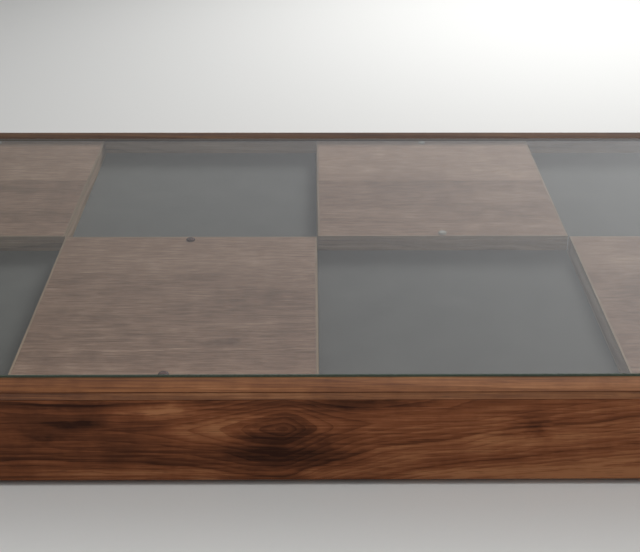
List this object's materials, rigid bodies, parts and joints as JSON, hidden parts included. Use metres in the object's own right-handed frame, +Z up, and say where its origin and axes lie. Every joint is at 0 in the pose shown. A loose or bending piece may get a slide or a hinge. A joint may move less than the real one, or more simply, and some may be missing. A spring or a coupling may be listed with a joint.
{
  "type": "tabletop display case",
  "caption": "Low walnut display case with felt-lined square cells between lift-out wooden lids in a chequer pattern, under a loose glass top.",
  "frame": {"origin": "on the ground under the middle of the case", "axes": "+X along the length to the right, +Y to the back, +Z up; the front rail faces -Y"},
  "size_m": [1.252, 0.652, 0.1137],
  "materials": {
    "walnut": "oiled",
    "walnut_lid": "oiled",
    "plywood": "raw",
    "softwood": "raw",
    "felt": "pressed wool felt",
    "float_glass": "polished",
    "clear_plastic": "clear moulded",
    "rubber": "moulded"
  },
  "bodies": {
    "case": {"rail_front": "walnut", "cap_front": "walnut", "rail_back": "walnut", "cap_back": "walnut", "rail_left": "walnut", "cap_left": "walnut", "rail_right": "walnut", "cap_right": "walnut", "base_board": "plywood", "cleat_front": "softwood", "cleat_back": "softwood", "cleat_left": "softwood", "cleat_right": "softwood", "bearer_1": "softwood", "bearer_2": "softwood", "bearer_3": "softwood", "corner_block_front_left": "softwood", "corner_block_front_right": "softwood", "corner_block_back_left": "softwood", "corner_block_back_right": "softwood", "foot_front_left": "rubber", "foot_front_right": "rubber", "foot_back_left": "rubber", "foot_back_right": "rubber", "felt_front_1": "felt", "box_wall_front_2_front": "walnut", "box_wall_front_2_back": "walnut", "box_wall_front_2_left": "walnut", "box_wall_front_2_right": "walnut", "felt_front_3": "felt", "box_wall_front_4_front": "walnut", "box_wall_front_4_back": "walnut", "box_wall_front_4_left": "walnut", "box_wall_front_4_right": "walnut", "box_wall_back_1_front": "walnut", "box_wall_back_1_back": "walnut", "box_wall_back_1_left": "walnut", "box_wall_back_1_right": "walnut", "felt_back_2": "felt", "box_wall_back_3_front": "walnut", "box_wall_back_3_back": "walnut", "box_wall_back_3_left": "walnut", "box_wall_back_3_right": "walnut", "felt_back_4": "felt"},
    "glass": {"glass_top": "float_glass"},
    "lid_front_2": {"lid_front_2": "walnut_lid", "bumper_front_2_near": "clear_plastic", "bumper_front_2_far": "clear_plastic"},
    "lid_front_4": {"lid_front_4": "walnut_lid", "bumper_front_4_near": "clear_plastic", "bumper_front_4_far": "clear_plastic"},
    "lid_back_1": {"lid_back_1": "walnut_lid", "bumper_back_1_near": "clear_plastic", "bumper_back_1_far": "clear_plastic"},
    "lid_back_3": {"lid_back_3": "walnut_lid", "bumper_back_3_near": "clear_plastic", "bumper_back_3_far": "clear_plastic"}
  },
  "joints": [
    {"name": "glass_lift", "type": "slide", "parent": "case", "child": "glass", "axis": [0, 0, 1], "range_m": [0, 0.25]},
    {"name": "lid_front_2_lift", "type": "slide", "parent": "case", "child": "lid_front_2", "axis": [0, 0, 1], "range_m": [0, 0.1]},
    {"name": "lid_front_4_lift", "type": "slide", "parent": "case", "child": "lid_front_4", "axis": [0, 0, 1], "range_m": [0, 0.1]},
    {"name": "lid_back_1_lift", "type": "slide", "parent": "case", "child": "lid_back_1", "axis": [0, 0, 1], "range_m": [0, 0.1]},
    {"name": "lid_back_3_lift", "type": "slide", "parent": "case", "child": "lid_back_3", "axis": [0, 0, 1], "range_m": [0, 0.1]}
  ],
  "couplings": [
    {"joint": "lid_front_2_lift", "follows": "glass_lift", "ratio": 0.4},
    {"joint": "lid_front_4_lift", "follows": "glass_lift", "ratio": 0.4},
    {"joint": "lid_back_1_lift", "follows": "glass_lift", "ratio": 0.4},
    {"joint": "lid_back_3_lift", "follows": "glass_lift", "ratio": 0.4}
  ]
}
